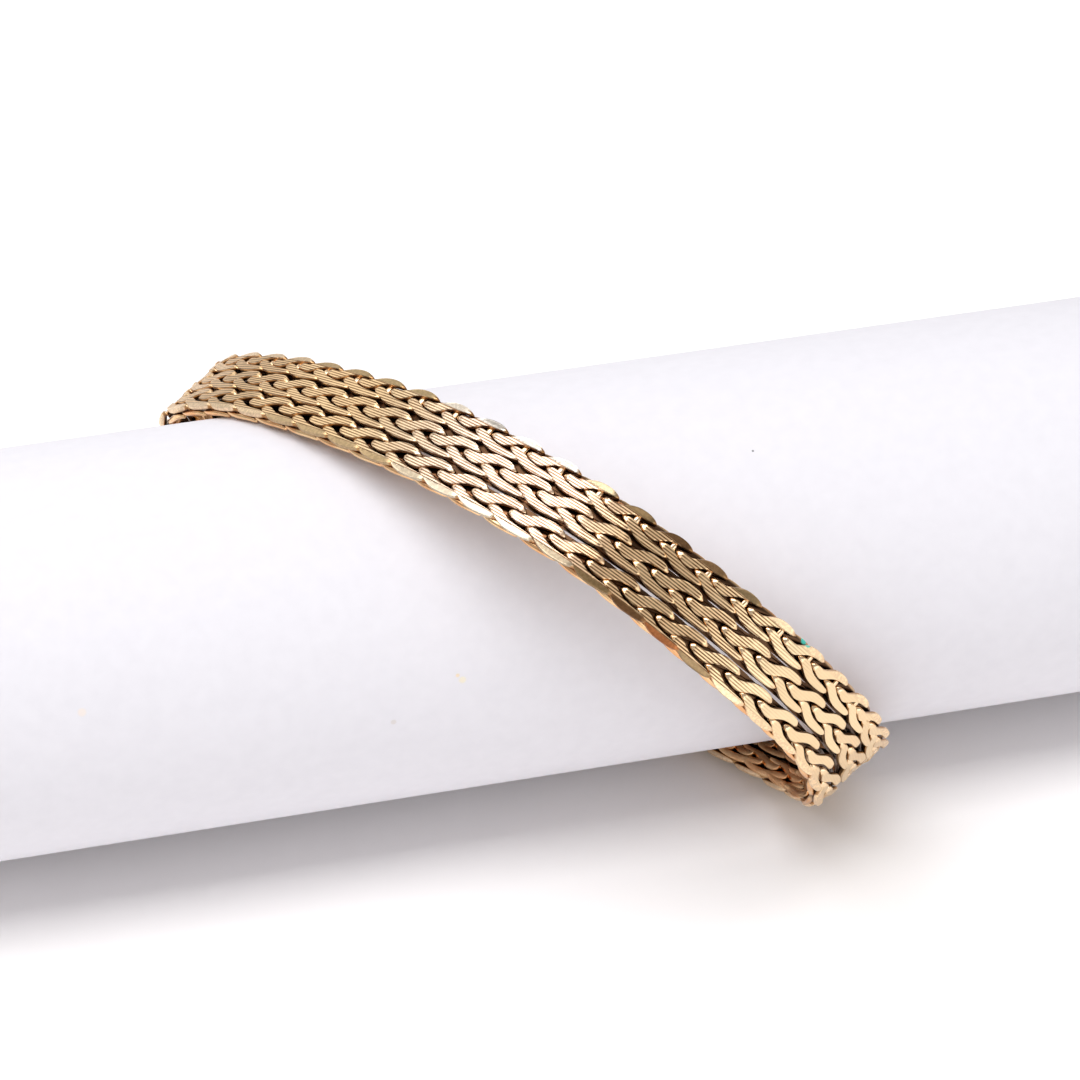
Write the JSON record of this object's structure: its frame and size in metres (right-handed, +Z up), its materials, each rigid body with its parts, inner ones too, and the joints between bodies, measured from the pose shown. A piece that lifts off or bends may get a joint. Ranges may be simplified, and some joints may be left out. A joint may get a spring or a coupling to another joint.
{
  "type": "gold mesh bracelet on a display roll",
  "caption": "Woven gold mesh bracelet with flat ground herringbone links, worn slantwise on a plain white paper roll that lies on a table.",
  "frame": {"origin": "on the table, in the middle of the object's length and depth", "axes": "+X along the display roll, +Y away from the viewer, +Z up"},
  "size_m": [0.16, 0.055, 0.0459],
  "materials": {
    "gold": "antique gold, ground flat tops with engraved lines, dark in the gaps",
    "clasp_gold": "satin gold",
    "paper": "matte white paper"
  },
  "bodies": {
    "root": {"braid_far": "gold", "braid_middle": "gold", "braid_near": "gold", "clasp": "clasp_gold", "roll": "paper"}
  },
  "joints": []
}
